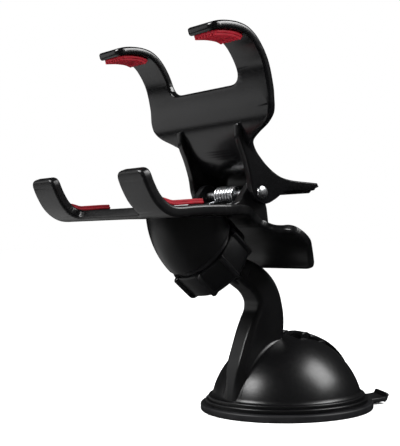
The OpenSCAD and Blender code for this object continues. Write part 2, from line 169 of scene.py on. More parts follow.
def grid_mesh(name, rings, close_around=True, cap_start=False, cap_end=False, smooth_angle=40):
    """A skin over rings of points, one ring after the other."""
    bm = bmesh.new()
    rows = [[bm.verts.new(p) for p in ring] for ring in rings]
    count = len(rings[0])
    for low, high in zip(rows, rows[1:]):
        for i in range(count if close_around else count - 1):
            j = (i + 1) % count
            bm.faces.new((low[i], low[j], high[j], high[i]))
    if cap_start:
        bm.faces.new(list(reversed(rows[0])))
    if cap_end:
        bm.faces.new(rows[-1])
    bmesh.ops.remove_doubles(bm, verts=bm.verts, dist=0.001)
    bmesh.ops.dissolve_degenerate(bm, edges=bm.edges, dist=0.0005)
    bmesh.ops.recalc_face_normals(bm, faces=bm.faces)
    return finish_mesh(name, bm, smooth_angle=smooth_angle)


def lathe(name, profile, place=Matrix(), segments=128, smooth_angle=35):
    """Turns a profile of (radius, height) points about the Z axis of a placing matrix."""
    rings = []
    for radius, height in profile:
        ring = []
        for k in range(segments):
            a = 2 * math.pi * k / segments
            ring.append(place @ Vector((radius * math.cos(a), radius * math.sin(a), height)))
        rings.append(ring)
    return grid_mesh(name, rings, smooth_angle=smooth_angle)


def rounded_plate(name, outline, thickness, edge, place, cut_every=None, round_steps=4):
    """A plate with rounded edges, from a flat outline in (u, v). place(u, v, h) gives a point and the
    matrix that turns the plate's own directions there. cut_every adds lines across v, for a bent plate."""
    points = without_doubles(outline)
    if signed_area(points) < 0:
        points.reverse()
    half = thickness / 2
    edge = min(edge, half)
    layers = []
    for i in range(round_steps + 1):
        a = math.pi / 2 * i / round_steps
        layers.append((edge * (1 - math.sin(a)), half - edge + edge * math.cos(a)))
    layers = layers + [(inward, -height) for inward, height in reversed(layers)]
    bm = bmesh.new()
    rows = []
    for inward, height in layers:
        ring = inset(points, inward)
        rows.append([bm.verts.new((p[0], p[1], height)) for p in ring])
    count = len(points)
    for upper, lower in zip(rows, rows[1:]):
        for i in range(count):
            j = (i + 1) % count
            bm.faces.new((upper[i], lower[i], lower[j], upper[j]))
    top = bm.faces.new(rows[0])
    bottom = bm.faces.new(list(reversed(rows[-1])))
    bm.normal_update()
    bmesh.ops.triangulate(bm, faces=[top, bottom])
    if cut_every:
        low = min(p[1] for p in points)
        high = max(p[1] for p in points)
        lines = int((high - low) / cut_every)
        for i in range(1, lines):
            everything = list(bm.verts) + list(bm.edges) + list(bm.faces)
            bmesh.ops.bisect_plane(bm, geom=everything, plane_co=(0, low + (high - low) * i / lines, 0),
                                   plane_no=(0, 1, 0), dist=1e-4)
    bm.normal_update()
    normals = []
    for vert in bm.verts:
        total = Vector()
        for face in vert.link_faces:
            total += face.normal * face.calc_area()
        flat = total.normalized()
        point, turn = place(vert.co.x, vert.co.y, vert.co.z)
        normals.append((turn @ flat).normalized())
        vert.co = point
    return finish_mesh(name, bm, normals=normals)


class Bend:
    """A line in Y and Z that a flat plate is bent along. v runs along the line, u along X, and h leaves
    the line on its left-hand side."""

    def __init__(self, points, steps=24):
        self.line = curve(points, steps)
        self.at = [0.0]
        for a, b in zip(self.line, self.line[1:]):
            self.at.append(self.at[-1] + (b - a).length)
        self.length = self.at[-1]

    def find(self, v):
        """The stretch of the line that v falls in, and how far along that stretch it is, from 0 to 1."""
        v = min(max(v, 0.0), self.length)
        low, high = 0, len(self.at) - 1
        while high - low > 1:
            middle = (low + high) // 2
            if self.at[middle] > v:
                high = middle
            else:
                low = middle
        t = (v - self.at[low]) / max(self.at[low + 1] - self.at[low], 1e-9)
        return low, t

    def tangent(self, i):
        a = self.line[max(i - 1, 0)]
        b = self.line[min(i + 1, len(self.line) - 1)]
        return (b - a).normalized()

    def __call__(self, u, v, h):
        i, t = self.find(v)
        point = self.line[i].lerp(self.line[i + 1], t)
        along = self.tangent(i).lerp(self.tangent(i + 1), t).normalized()
        side = Vector((-along[1], along[0]))
        overrun = v - min(max(v, 0.0), self.length)
        point = point + side * h + along * overrun
        turn = Matrix(((1, 0, 0), (0, along[0], side[0]), (0, along[1], side[1])))
        return Vector((u, point[0], point[1])), turn

    def v_at(self, axis, value, start=0.0, end=1.0):
        """Where along the line its Y (axis 0) or Z (axis 1) is nearest to a value, in a stretch of it."""
        found = [(abs(p[axis] - value), s) for p, s in zip(self.line, self.at)
                 if start * self.length <= s <= end * self.length]
        return min(found)[1]


def side_place(x_middle):
    """Places a flat outline given in Y and Z, with its thickness along X."""
    turn = Matrix(((0, 0, 1), (1, 0, 0), (0, 1, 0)))
    return lambda u, v, h: (Vector((x_middle + h, u, v)), turn)


def join(name, pieces):
    """Joins meshes into one object, each with the normals that it has."""
    bpy.ops.object.select_all(action="DESELECT")
    for piece in pieces:
        piece.select_set(True)
    bpy.context.view_layer.objects.active = pieces[0]
    bpy.ops.object.join()
    pieces[0].name = name
    pieces[0].data.name = name
    return pieces[0]


# ---- driving sizes, in millimetres ----


def span(node, axis):
    """A node's extent along an axis, in millimetres."""
    low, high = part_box(node)
    return low[axis] / MM, high[axis] / MM


DISC_R = span("suction_disc", 0)[1]
RIM_T = span("base_ring", 2)[0]
RING_TOP = span("base_ring", 2)[1]
DOME_TOP = 27.5
DOME_R = 28.6
DOME_Z = DOME_TOP - DOME_R
FLANGE_R = span("base_dome", 0)[1]
WALL = 2.2
HALF_W = span("lower_jaw", 0)[1]
FINGER_W = 14.0
FINGER_IN = HALF_W - FINGER_W
BALL = Vector(HINGE["ball_tilt"]["pos_m"]) / MM
AXIS = Vector(HINGE["ball_spin"]["axis"]).normalized()
PIN = Vector(HINGE["jaw_pivot"]["pos_m"]) / MM
LEVER_PIN = Vector(HINGE["lever_swing"]["pos_m"]) / MM
PULL = -HINGE["stem_slide"]["range_m"][0] / MM
RIM_IN = 24
SEAM = -7.6
SEAM_R = 13.6
NUT_R = 14.9
NUT_BODY_R = 13.7
NUT_START = -5.95
NUT_END = 5.1
NUT_RIBS = 8
NUT_PHASE = 15


def ball_frame(turn):
    """The placing matrix at the ball's centre, turned about X by an angle in degrees."""
    return Matrix.Translation(BALL) @ Matrix.Rotation(math.radians(turn), 4, "X")


JOINT_TURN = math.degrees(math.atan2(-AXIS[1], AXIS[2])) % 360
JOINT = ball_frame(JOINT_TURN)
NECK = ball_frame(250)


# ---- suction base ----


TAB_TURN = -28
TAB_HALF_W = 5.9


def on_tab(line):
    """Places (u, v) along a bend that is turned about Z to where the pull tab is."""
    turn = Matrix.Rotation(math.radians(TAB_TURN), 3, "Z")

    def place(u, v, h):
        point, frame_turn = line(u, v, h)
        return turn @ point, turn @ frame_turn
    return place


def pull_tab():
    """The flat tab that leaves the rim."""
    line = Bend([(DISC_R - 3, 1.5), (DISC_R, 1.55), (DISC_R + 3, 1.7), (DISC_R + 6, 2.3)])
    end = line.length - 0.2
    half = [(0, 0), (7.2, 0), (6.1, 2.8), (TAB_HALF_W, 5), (TAB_HALF_W, end), (0, end)]
    return rounded_plate("tab", rounded(both_halves(half), 1.2, 4), 1.7, 0.5, on_tab(line), cut_every=1.0)


def tab_lip():
    """The lip across the tab's end, which turns up."""
    line = Bend([(DISC_R + 4.1, 0.9), (DISC_R + 5.0, 2.2), (DISC_R + 5.9, 4.1)])
    outline = [(-TAB_HALF_W, 0), (TAB_HALF_W, 0), (TAB_HALF_W, line.length), (-TAB_HALF_W, line.length)]
    return rounded_plate("lip", rounded(outline, 0.9, 4), 1.5, 0.6, on_tab(line), cut_every=1.0)


def suction_disc():
    """The rubber disc's thick rim, with its pull tab."""
    outer = DISC_R - 0.1
    rim = rounded([(RIM_IN, 0), (outer, 0), (outer, RIM_T), (RIM_IN, RIM_T)], [0.1, 0.5, 0.8, 0.1], 6)
    disc = lathe("rubber_disc", rim + rim[:1], segments=160)
    return join("suction_disc_skin", [disc, pull_tab(), tab_lip()])


def membrane_profile():
    """The thin middle of the rubber: low at the rim and raised under the stem."""
    half = [(0.01, 3.0), (9, 3.0), (RIM_IN, 0.2), (RIM_IN, 1.4), (9, 4.15), (0.01, 4.15)]
    return rounded(half, [0, 5, 0.1, 0.1, 5, 0], 8, closed=False)


def base_ring():
    """The hard ring on the rubber's rim."""
    section = [(24.1, RIM_T), (30.3, RIM_T), (30.3, RING_TOP), (24.1, RING_TOP)]
    rim = rounded(section, [0.1, 0.15, 0.5, 0.1], 5)
    return lathe("base_ring_skin", rim + rim[:1], segments=160)


def dome_profile():
    """From the top down the outside, round the foot flange and up the inside."""
    foot = RING_TOP + 1.25
    low = math.degrees(math.asin((foot + 0.5 - DOME_Z) / DOME_R))
    outside = [Vector((DOME_R * math.cos(math.radians(a)), DOME_Z + DOME_R * math.sin(math.radians(a))))
               for a in [90 - (90 - low) * i / 40 for i in range(41)]]
    outside[0][0] = 0.01
    under = RING_TOP + 0.02
    step = rounded([outside[-1], (28.15, foot + 0.1), (FLANGE_R - 0.1, foot - 0.05), (FLANGE_R, under),
                    (26.2, under)], [0, 0.35, 0.4, 0.1, 0.2], 4, closed=False)
    inner = DOME_R - WALL
    inside = [Vector((inner * math.cos(math.radians(a)), DOME_Z + inner * math.sin(math.radians(a))))
              for a in [12 + 78 * i / 24 for i in range(25)]]
    inside[-1][0] = 0.01
    return outside + step[1:] + inside


def cut_away(piece, tool):
    """Takes a closed tool mesh away from a piece."""
    modifier = piece.modifiers.new("cut", "BOOLEAN")
    modifier.operation = "DIFFERENCE"
    modifier.solver = "EXACT"
    modifier.object = tool
    bpy.context.view_layer.objects.active = piece
    bpy.ops.object.select_all(action="DESELECT")
    piece.select_set(True)
    bpy.ops.object.modifier_apply(modifier="cut")
    bpy.data.objects.remove(tool, do_unlink=True)
    piece.data.set_sharp_from_angle(angle=math.radians(35))


def flat_place(z_middle):
    """Places a flat outline given in X and Y, with its thickness along Z."""
    return lambda u, v, h: (Vector((u, v, z_middle + h)), Matrix.Identity(3))


SLOT_HALF = 8.5
SLOT_FRONT = -1.6
SLOT_REAR = 10.8
WELL_MIDDLE = 21.0
WELL_HEIGHT = 7.4
HOLLOW_MIDDLE = 25.5
HOLLOW_HEIGHT = 12


def base_dome():
    """The dome with its slot, and the well that the lever's cams stand in. The well's floor has no hole
    for the stem."""
    dome = lathe("base_dome_skin", dome_profile(), segments=192)
    slot = [(-SLOT_HALF, SLOT_FRONT), (SLOT_HALF, SLOT_FRONT),
            (SLOT_HALF, SLOT_REAR), (-SLOT_HALF, SLOT_REAR)]
    tool = rounded_plate("slot", rounded(slot, 1.2, 5), 14, 0.01, flat_place(28), round_steps=1)
    cut_away(dome, tool)
    well = [(-SLOT_HALF - 1.5, SLOT_FRONT - 1.5), (SLOT_HALF + 1.5, SLOT_FRONT - 1.5),
            (SLOT_HALF + 1.5, SLOT_REAR + 1), (-SLOT_HALF - 1.5, SLOT_REAR + 1)]
    block = rounded_plate("well", rounded(well, 1.5, 4), WELL_HEIGHT, 0.3, flat_place(WELL_MIDDLE))
    hollow = rounded_plate("hollow", rounded(slot, 1.2, 4), HOLLOW_HEIGHT, 0.3, flat_place(HOLLOW_MIDDLE))
    cut_away(block, hollow)
    return join("base_dome_skin", [dome, block])


# ---- arm ----


# Points of the arm's front edge, each with the point of the rear edge across from it
ARM_PAIRS = [
    ((-26.2, 48.9), (-23.6, 56.8)), ((-22.9, 46.6), (-18.6, 55.6)), ((-19.8, 44.5), (-13.2, 52.8)),
    ((-17.8, 42.3), (-9.0, 48.9)), ((-16.8, 39.9), (-5.9, 43.8)), ((-17.2, 37.2), (-4.4, 38.6)),
    ((-19.1, 34.2), (-3.8, 34.2)), ((-21.7, 29.4), (-4.0, 29.8)), ((-24.2, 23.5), (-4.8, 25.0)),
    ((-26.3, 17.9), (-6.2, 19.6)), ((-27.3, 12.6), (-8.2, 13.6)), ((-27.8, 8.6), (-9.4, 9.2)),
    ((-28.0, 5.5), (-10.4, 5.6)),
]
ARM_HALF_W = 4.95
ARM_RIDGE = 1.8
ARM_SIDE_HOLLOW = 0.25
NECK_PROFILE = [(0.01, 6.5), (3.9, 6.9), (3.95, 8.4), (4.3, 10.0), (4.9, 12.0), (5.1, 14.0), (4.0, 15.5),
                (0.01, 16)]


def smoothstep(low, high, value):
    """0 below low, 1 above high, and a smooth step between them."""
    t = min(max((value - low) / (high - low), 0.0), 1.0)
    return t * t * (3 - 2 * t)


def arm_section(half_d, half_w, corner, power, round_rear):
    """The arm's section as (depth, width) points, front first. power shapes the two front corners: 1
    makes them flat bevels, 2 makes them round. The sides are a little hollow and the rear is rounded."""
    half = [(-half_d, (half_w - corner) * i / 4) for i in range(4)]
    for i in range(9):
        a = math.pi / 2 * i / 8
        c = math.cos(a) ** (2 / power)
        s = math.sin(a) ** (2 / power)
        half.append((-half_d + corner * (1 - c), half_w - corner * (1 - s)))
    side_start = -half_d + corner
    side_end = half_d - round_rear
    for i in range(1, 12):
        t = i / 12
        half.append((side_start + (side_end - side_start) * t,
                     half_w - ARM_SIDE_HOLLOW * math.sin(math.pi * t)))
    for i in range(9):
        a = math.pi / 2 * i / 8
        half.append((half_d - round_rear + round_rear * math.sin(a),
                     half_w - round_rear + round_rear * math.cos(a)))
    half.append((half_d, 0.0))
    return half + [(d, -w) for d, w in reversed(half[1:-1])]


def arm():
    """The S-shaped arm, lofted between its front and rear edges, with the neck that carries the ball."""
    front = curve([pair[0] for pair in ARM_PAIRS], 12)
    rear = curve([pair[1] for pair in ARM_PAIRS], 12)
    last = len(front) - 1
    rings = []
    for i, (f, r) in enumerate(zip(front, rear)):
        middle = (f + r) / 2
        depth = (r - f) / 2
        along = i / last
        corner = ARM_RIDGE + 2.0 * smoothstep(0.72, 0.95, along)
        power = 2.0 - 0.9 * smoothstep(0.34, 0.66, along) * (1 - smoothstep(0.80, 0.95, along))
        round_rear = min(3.6 - 1.0 * smoothstep(0.1, 0.3, along), depth.length * 0.8)
        ring = []
        for d, w in arm_section(depth.length, ARM_HALF_W, corner, power, round_rear):
            point = middle + depth.normalized() * d
            ring.append(Vector((w, point[0], point[1])))
        rings.append(ring)
    body = grid_mesh("arm_body", rings, cap_start=True, cap_end=True, smooth_angle=70)
    neck = lathe("arm_neck", NECK_PROFILE, NECK, segments=64)
    return join("arm_skin", [body, neck, foot_fillet(-1), foot_fillet(1)])


def foot_fillet(side):
    """The hollow round between one side of the arm and the dome. It fades out towards the toe."""
    start, end, steps = 13.0, 73.0, 60
    rings = []
    for i in range(steps + 1):
        turn = start + (end - start) * i / steps
        radius = 0.15 + 1.5 * smoothstep(start, 26, turn) * (1 - smoothstep(34, 62, turn))
        across = ARM_HALF_W - 0.1 + radius
        out = math.sqrt((DOME_R + radius) ** 2 - across ** 2)
        down = math.atan2(-out, -across) % (2 * math.pi)
        ring = []
        for k in range(9):
            a = math.pi + (down - math.pi) * k / 8
            x = across + radius * math.cos(a)
            reach = out + radius * math.sin(a)
            ring.append(Vector((side * x, -reach * math.sin(math.radians(turn)),
                                DOME_Z + reach * math.cos(math.radians(turn)))))
        rings.append(ring)
    fillet = grid_mesh("arm_fillet", rings, close_around=False)
    if side < 0:
        fillet.data.flip_normals()
    return fillet


# ---- lever ----


def on_dome(radius):
    """Places (u, v) on a sphere about the dome's centre: v runs from the top to the rear, u across."""
    def place(u, v, h):
        a = v / DOME_R
        b = u / DOME_R
        out = Vector((math.sin(b), math.cos(b) * math.sin(a), math.cos(b) * math.cos(a)))
        across = Vector((math.cos(b), -math.sin(b) * math.sin(a), -math.sin(b) * math.cos(a)))
        down = out.cross(across)
        turn = Matrix((across, down, out)).transposed()
        return Vector((0, 0, DOME_Z)) + out * (radius + h), turn
    return place


HANDLE_START = 4.6
HANDLE_END = 30.6
CAM_REACH = 5.6
CAM_STEP = 6
CAM_WIDTH = 5.4
CAM_OFFSET = 5.2


def cam_outline():
    """A cam's edge: an involute that moves the stem in step with the turn, then the cam's back."""
    low = CAM_REACH - PULL
    rate = PULL / 90
    pull = rate * 180 / math.pi
    y, z = LEVER_PIN[1], LEVER_PIN[2]
    outline = []
    for i in range(16):
        a = math.radians(180 + CAM_STEP * i)
        reach = low + rate * CAM_STEP * i
        outline.append(Vector((y + reach * math.cos(a) - pull * math.sin(a),
                               z + reach * math.sin(a) + pull * math.cos(a))))
    outline += [Vector((6.4, 21.2)), Vector((8.2, 23.8)), Vector((8.4, 26.6))]
    return outline + arc((y, z), 3.2, 44, 132) + [Vector((y - low, z))]


def lock_lever():
    """The handle, which lies along the dome, with its two cams."""
    sides = curve([(8.8, 7), (8.9, 12), (9.1, 18), (9.3, 24), (9.0, 28)], 4)
    half = [(0, HANDLE_START), (8.7, HANDLE_START)] + sides + [(8.6, HANDLE_END), (0, HANDLE_END)]
    handle = rounded_plate("handle", rounded(both_halves(half), 1.6, 3), 1.2, 0.5, on_dome(DOME_R + 0.68),
                           cut_every=1.2)
    lobes = [rounded_plate("cam", cam_outline(), CAM_WIDTH, 0.5, side_place(side * CAM_OFFSET))
             for side in (-1, 1)]
    return join("lock_lever_skin", [handle] + lobes)


# ---- ball joint ----


HOUSING_PIVOT = Vector((-32.06, 71.9))
COLLAR = [(9.4, SEAM - 1), (12.2, SEAM - 1), (12.2, -0.6), (11.9, -0.25), (10.5, -0.25), (9.4, SEAM + 2),
          (9.4, SEAM - 1)]


def socket_housing():
    """A bell, whose round section swings about its own rear edge from level down to the seam, and the
    collar inside the nut. The shell is closed inside, so the ball and the cup run into it."""
    seam_tilt = JOINT_TURN - 180
    around, steps = 128, 28
    rings = []
    for i in range(steps + 1):
        t = i / steps
        tilt = math.radians(seam_tilt * t)
        radius = SEAM_R + 0.4 * (1 - t) ** 2.0
        if t > 0.97:
            radius -= 0.25
        middle = HOUSING_PIVOT + Vector((-math.cos(tilt), -math.sin(tilt))) * radius
        ring = []
        for k in range(around):
            a = 2 * math.pi * k / around
            off = radius * math.cos(a)
            ring.append(Vector((radius * math.sin(a), middle[0] + off * math.cos(tilt),
                                middle[1] + off * math.sin(tilt))))
        rings.append(ring)
    shell = grid_mesh("housing_shell", rings, cap_start=True, cap_end=True, smooth_angle=40)
    collar = lathe("collar", COLLAR, JOINT, segments=96)
    return join("socket_housing_skin", [shell, collar])


def lock_nut():
    """An eight-sided grip: hollow facets between thin raised ribs, which stand out most at the seam."""
    around = 32 * NUT_RIBS
    start, end = NUT_START, NUT_END
    body = [(start, -1.2), (start + 0.2, -0.4), (start + 0.7, 0.0), (start + 3, 0.05), (end - 2.2, 0.0),
            (end - 1.0, -0.2), (end - 0.3, -0.8), (end, -1.5)]
    rings = []
    for height, drop in body:
        flare = 1 + 0.35 * (1 - smoothstep(start, start + 3, height))
        ring = []
        for k in range(around):
            across = (k / around * NUT_RIBS) % 1.0
            off = abs(across - 0.5) * 2
            facet = NUT_BODY_R - 0.45 * (1 - off * off)
            rib = (NUT_R - NUT_BODY_R) * smoothstep(0.80, 0.95, off) * flare
            radius = min(facet + rib, NUT_R) + drop
            a = 2 * math.pi * k / around + math.radians(NUT_PHASE)
            ring.append(JOINT @ Vector((radius * math.cos(a), radius * math.sin(a), height)))
        rings.append(ring)
    inner = [(end - 0.1, 9.9), (4.1, 9.42), (2.5, 10.0), (0.2, 10.3), (0.2, 12.3), (start, 12.3)]
    for height, radius in inner:
        ring = []
        for k in range(around):
            a = 2 * math.pi * k / around
            ring.append(JOINT @ Vector((radius * math.cos(a), radius * math.sin(a), height)))
        rings.append(ring)
    rings.append(rings[0])
    return grid_mesh("lock_nut_skin", rings, smooth_angle=32)


# ---- jaws ----


EAR_OFFSET = 12.5
CHEEK_OFFSET = 15.8


def lower_jaw():
    """The lower plate, bent up into two fingers in front and down into the paddle, with two ears.
    The ears have no bore, so the pin runs into them."""
    line = Bend([(-86.75, 85.35), (-85.9, 82.9), (-84.5, 79.8), (-82.1, 76.1), (-78.7, 73.4), (-74.8, 72.35),
                 (-67.5, 72.8), (-60, 73.05), (-45, 73.05), (-36, 73.05), (-32, 73.0), (-28.9, 72.4),
                 (-26.6, 71.3), (-24.2, 69.8), (-22.1, 68.3), (-19.35, 66.1), (-16.3, 64.0), (-13.2, 61.6),
                 (-10.9, 58.8), (-9.85, 55.7), (-9.6, 52.5)])
    end = line.length

    def at_y(y):
        return line.v_at(0, y, 0.1, 1.0)

    def at_z(z):
        return line.v_at(1, z, 0.7, 1.0)

    def thinning(u, v, h):
        return line(u, v, h * (1 - 0.18 * smoothstep(at_y(-30), at_y(-18), v)))

    root = at_y(-77.5)
    gap = rounded([(0, root), (FINGER_IN, root), (FINGER_IN, 0), (HALF_W, 0), (HALF_W, at_y(-56))],
                  [0, 4, 3, 3, 0], 7, closed=False)
    neck = curve([(HALF_W, at_y(-54)), (31.3, at_y(-49)), (27.5, at_y(-43.5)), (22, at_y(-37)),
                  (17, at_y(-31.5)), (14.4, at_y(-27.5)), (14, at_y(-24))], 6)
    paddle = curve([(14, at_z(69.2)), (14.8, at_z(68.2)), (17.2, at_z(67.4)), (20.5, at_z(67.2)),
                    (23.5, at_z(67.3)), (26, at_z(66.9)), (27.4, at_z(65.7)), (27.8, at_z(63.9)),
                    (27.2, at_z(61.8)), (25.9, at_z(59.9)), (25, at_z(57.9)), (24.7, at_z(55.8)),
                    (24.6, at_z(54.3)), (23.9, at_z(53.1)), (22.3, end)], 4)
    outline = both_halves(gap + neck[1:] + paddle + [Vector((0, end))])
    plate = rounded_plate("jaw_sheet", outline, 3.4, 0.95, thinning, cut_every=0.9)
    ear_foot = [(-20.8, 74), (-20, 67.6), (-23.4, 69.6), (-27.6, 72), (-38, 72.6), (-38, 74.8), (-34, 76.4)]
    ear = arc((PIN[1], PIN[2]), 4, 150, -5, 14) + [Vector(p) for p in ear_foot]
    ears = [rounded_plate("ear", rounded(ear, 0.9, 4), 3, 0.45, side_place(side * EAR_OFFSET))
            for side in (-1, 1)]
    return join("lower_jaw_skin", [plate] + ears)


UPPER_LINE = [(-59.95, 130.2), (-56.9, 131.1), (-53.2, 131.6), (-48.7, 131.5), (-44.7, 130.3),
              (-40.9, 127.0), (-37.4, 121.1), (-35.45, 113.3), (-35.05, 108), (-34.2, 102.9),
              (-31.9, 97.5), (-28.7, 92.6), (-23.6, 87.6), (-17.6, 84.0), (-11.2, 82.5), (-4, 82.05),
              (1.5, 81.8)]
CHEEK_TOP = [(-33.2, 103.0), (-30.7, 97.2), (-27.5, 92.2), (-22.6, 87.7), (-17.1, 85.1), (-11.1, 83.9),
             (-4, 83.4), (1.4, 83.1)]
CHEEK_UNDER = [(2.2, 81.7), (-3.4, 80.2), (-9.6, 80.2), (-15, 79.6), (-19.4, 77.2), (-22.8, 75.7),
               (-25.6, 75.6), (-28.6, 77), (-30.4, 80.4), (-31.4, 86), (-33.4, 92), (-36, 98), (-36.4, 103)]


def upper_jaw():
    """The upper plate, bent over into two fingers in front, with two cheeks and a lip along its tail."""
    line = Bend(UPPER_LINE)

    def at_z(z):
        return line.v_at(1, z, 0.1, 0.8)

    root = at_z(116)
    gap = rounded([(0, root), (FINGER_IN, root), (FINGER_IN, 0), (HALF_W, 0), (HALF_W, at_z(108))],
                  [0, 5, 3, 3, 0], 7, closed=False)
    shoulder = curve([(HALF_W, at_z(107.6)), (32.0, at_z(104.3)), (28.6, at_z(101.6)), (22.6, at_z(98.9)),
                      (18.2, at_z(96.2)), (17.2, at_z(92.6))], 6)
    tail = rounded([(17.2, at_z(92)), (17.2, line.length), (0, line.length)], [0, 2.5, 0], 6, closed=False)
    outline = both_halves(gap + shoulder[1:] + tail[1:])
    plate = rounded_plate("jaw_sheet", outline, 2.8, 0.9, line, cut_every=0.9)
    cheek = curve(CHEEK_TOP, 6) + curve(CHEEK_UNDER, 5)
    cheeks = [rounded_plate("cheek", cheek, 3, 0.6, side_place(side * CHEEK_OFFSET)) for side in (-1, 1)]
    lip_outline = [(-2.4, 82.9), (1.8, 82.9), (2.2, 81.7), (-0.4, 79.5), (-3.6, 79.4)]
    lip = rounded_plate("tail_lip", rounded(lip_outline, 0.8, 4), 30, 0.5, side_place(0))
    return join("upper_jaw_skin", [plate] + cheeks + [lip])


PAD_RIBS = 7


def lower_pad(side):
    """A red pad on the plate behind a finger, with ribs that run from front to rear."""
    bed = Bend([(-79.4, 75.3), (-78.0, 74.95), (-74.6, 74.3), (-67.5, 74.75), (-63, 74.9)])
    return ribbed_pad("lower_pad", bed, side * (HALF_W - FINGER_W / 2), 10.4, 1.6, 1)


def upper_pad(side):
    """A red pad under an upper finger."""
    bed = Bend([(-58.0, 129.5), (-56.4, 129.7), (-52.8, 130.05), (-48.7, 129.95), (-45.8, 129.1)])
    return ribbed_pad("upper_pad", bed, side * (HALF_W - FINGER_W / 2), 11.2, 1.7, -1)


def ribbed_pad(name, bed, middle, width, height, up):
    """A thin rubber base along a bend, with ribs on it. up is the side of the bend that it lies on."""
    def lifted(offset):
        def place(u, v, h):
            point, turn = bed(u, v, h + offset)
            return point + Vector((middle, 0, 0)), turn
        return place

    length = bed.length
    sheet = [(-width / 2, 0), (width / 2, 0), (width / 2, length), (-width / 2, length)]
    base = height * 0.55
    pieces = [rounded_plate("pad_base", rounded(sheet, 1.2, 4), base, 0.35, lifted(up * base / 2),
                            cut_every=1.0)]
    pitch = (width - 0.6) / PAD_RIBS
    for i in range(PAD_RIBS):
        u = -width / 2 + 0.3 + pitch * (i + 0.5)
        low, high = u - pitch * 0.33, u + pitch * 0.33
        rib = [(low, 0.1), (high, 0.1), (high, length - 0.3), (low, length - 0.3)]
        pieces.append(rounded_plate("pad_rib", rounded(rib, 0.3, 3), height * 0.75, 0.3,
                                    lifted(up * (height - height * 0.375)), cut_every=1.0))
    return join(name + ("_left_skin" if middle < 0 else "_right_skin"), pieces)


# ---- pivot ----


PIN_R = 1.45
PIN_END = -18.4
PIN_HEAD = 17.4


def pivot_pin():
    """The pin across the ears and cheeks, with its domed head at the right-hand end."""
    place = Matrix.Translation((0, PIN[1], PIN[2])) @ Matrix.Rotation(math.radians(90), 4, "Y")
    profile = [(0.01, PIN_END), (1.0, PIN_END), (PIN_R, PIN_END + 0.4), (PIN_R, PIN_HEAD), (2.1, PIN_HEAD),
               (2.35, PIN_HEAD + 0.25), (2.2, PIN_HEAD + 0.6), (1.5, PIN_HEAD + 0.95),
               (0.6, PIN_HEAD + 1.05), (0.01, PIN_HEAD + 1.05)]
    return lathe("pivot_pin_skin", profile, place, segments=64)


def closing_spring():
    """One wire: a leg on the plate, the coil round the pin, and a leg under the upper jaw's tail."""
    coil_r, wire_r, half, turns = 2.6, 0.6, 5.0, 6
    path = [Vector((-half, PIN[1] - 8.4, 75.4)), Vector((-half, PIN[1] - 5.2, 76.1)),
            Vector((-half, PIN[1] - 2.4, PIN[2] - coil_r + 0.1))]
    steps = turns * 24 + 14
    for i in range(steps + 1):
        a = math.radians(270 - 15 * i)
        path.append(Vector((-half + 2 * half * i / steps, PIN[1] + coil_r * math.cos(a),
                            PIN[2] + coil_r * math.sin(a))))
    path += [Vector((half, PIN[1] + 4.5, PIN[2] + 0.5)), Vector((half, PIN[1] + 9, PIN[2] - 1.6))]
    rings = []
    for i, point in enumerate(path):
        along = (path[min(i + 1, len(path) - 1)] - path[max(i - 1, 0)]).normalized()
        u = (Vector((1, 0, 0)) - along * along[0]).normalized()
        v = along.cross(u)
        angles = [2 * math.pi * k / 12 for k in range(12)]
        rings.append([point + (u * math.cos(a) + v * math.sin(a)) * wire_r for a in angles])
    return grid_mesh("closing_spring_skin", rings, cap_start=True, cap_end=True, smooth_angle=50)


# ---- materials ----


def new_material(name):
    """A material with its node tree, its shader and the socket that gives a point's own place."""
    material = bpy.data.materials.new(name)
    material.use_nodes = True
    tree = material.node_tree
    shader = next(node for node in tree.nodes if node.type == "BSDF_PRINCIPLED")
    place = tree.nodes.new("ShaderNodeTexCoord")
    return material, tree, shader, place.outputs["Object"]


def noise(tree, place, scale, detail=3.0, rough=0.55, stretch=None):
    """A noise texture, scale in features a metre."""
    texture = tree.nodes.new("ShaderNodeTexNoise")
    texture.inputs["Scale"].default_value = scale
    texture.inputs["Detail"].default_value = detail
    texture.inputs["Roughness"].default_value = rough
    if stretch:
        mapping = tree.nodes.new("ShaderNodeMapping")
        mapping.inputs["Scale"].default_value = stretch
        tree.links.new(place, mapping.inputs["Vector"])
        place = mapping.outputs["Vector"]
    tree.links.new(place, texture.inputs["Vector"])
    return texture.outputs["Fac"]


def between(tree, value, low, high, from_low=0.3, from_high=0.7):
    """Maps a texture's value onto a range."""
    node = tree.nodes.new("ShaderNodeMapRange")
    node.inputs["From Min"].default_value = from_low
    node.inputs["From Max"].default_value = from_high
    node.inputs["To Min"].default_value = low
    node.inputs["To Max"].default_value = high
    tree.links.new(value, node.inputs["Value"])
    return node.outputs["Result"]


def blend_colours(tree, factor, first, second):
    """Mixes two plain colours by a factor."""
    node = tree.nodes.new("ShaderNodeMix")
    node.data_type = "RGBA"
    node.inputs["A"].default_value = (*first, 1)
    node.inputs["B"].default_value = (*second, 1)
    tree.links.new(factor, node.inputs["Factor"])
    return node.outputs["Result"]


def raised(tree, heights):
    """Bumps from (height socket, depth in metres, strength), one on top of the other."""
    normal = None
    for height, depth, strength in heights:
        bump = tree.nodes.new("ShaderNodeBump")
        bump.inputs["Strength"].default_value = strength
        bump.inputs["Distance"].default_value = depth
        tree.links.new(height, bump.inputs["Height"])
        if normal:
            tree.links.new(normal, bump.inputs["Normal"])
        normal = bump.outputs["Normal"]
    return normal


def worn_edges(tree, colour, worn, amount):
    """Lightens a colour along convex edges, where hands rub it."""
    geometry = tree.nodes.new("ShaderNodeNewGeometry")
    edge = between(tree, geometry.outputs["Pointiness"], 0.0, amount, 0.52, 0.60)
    node = tree.nodes.new("ShaderNodeMix")
    node.data_type = "RGBA"
    node.inputs["B"].default_value = (*worn, 1)
    tree.links.new(edge, node.inputs["Factor"])
    tree.links.new(colour, node.inputs["A"])
    return node.outputs["Result"]


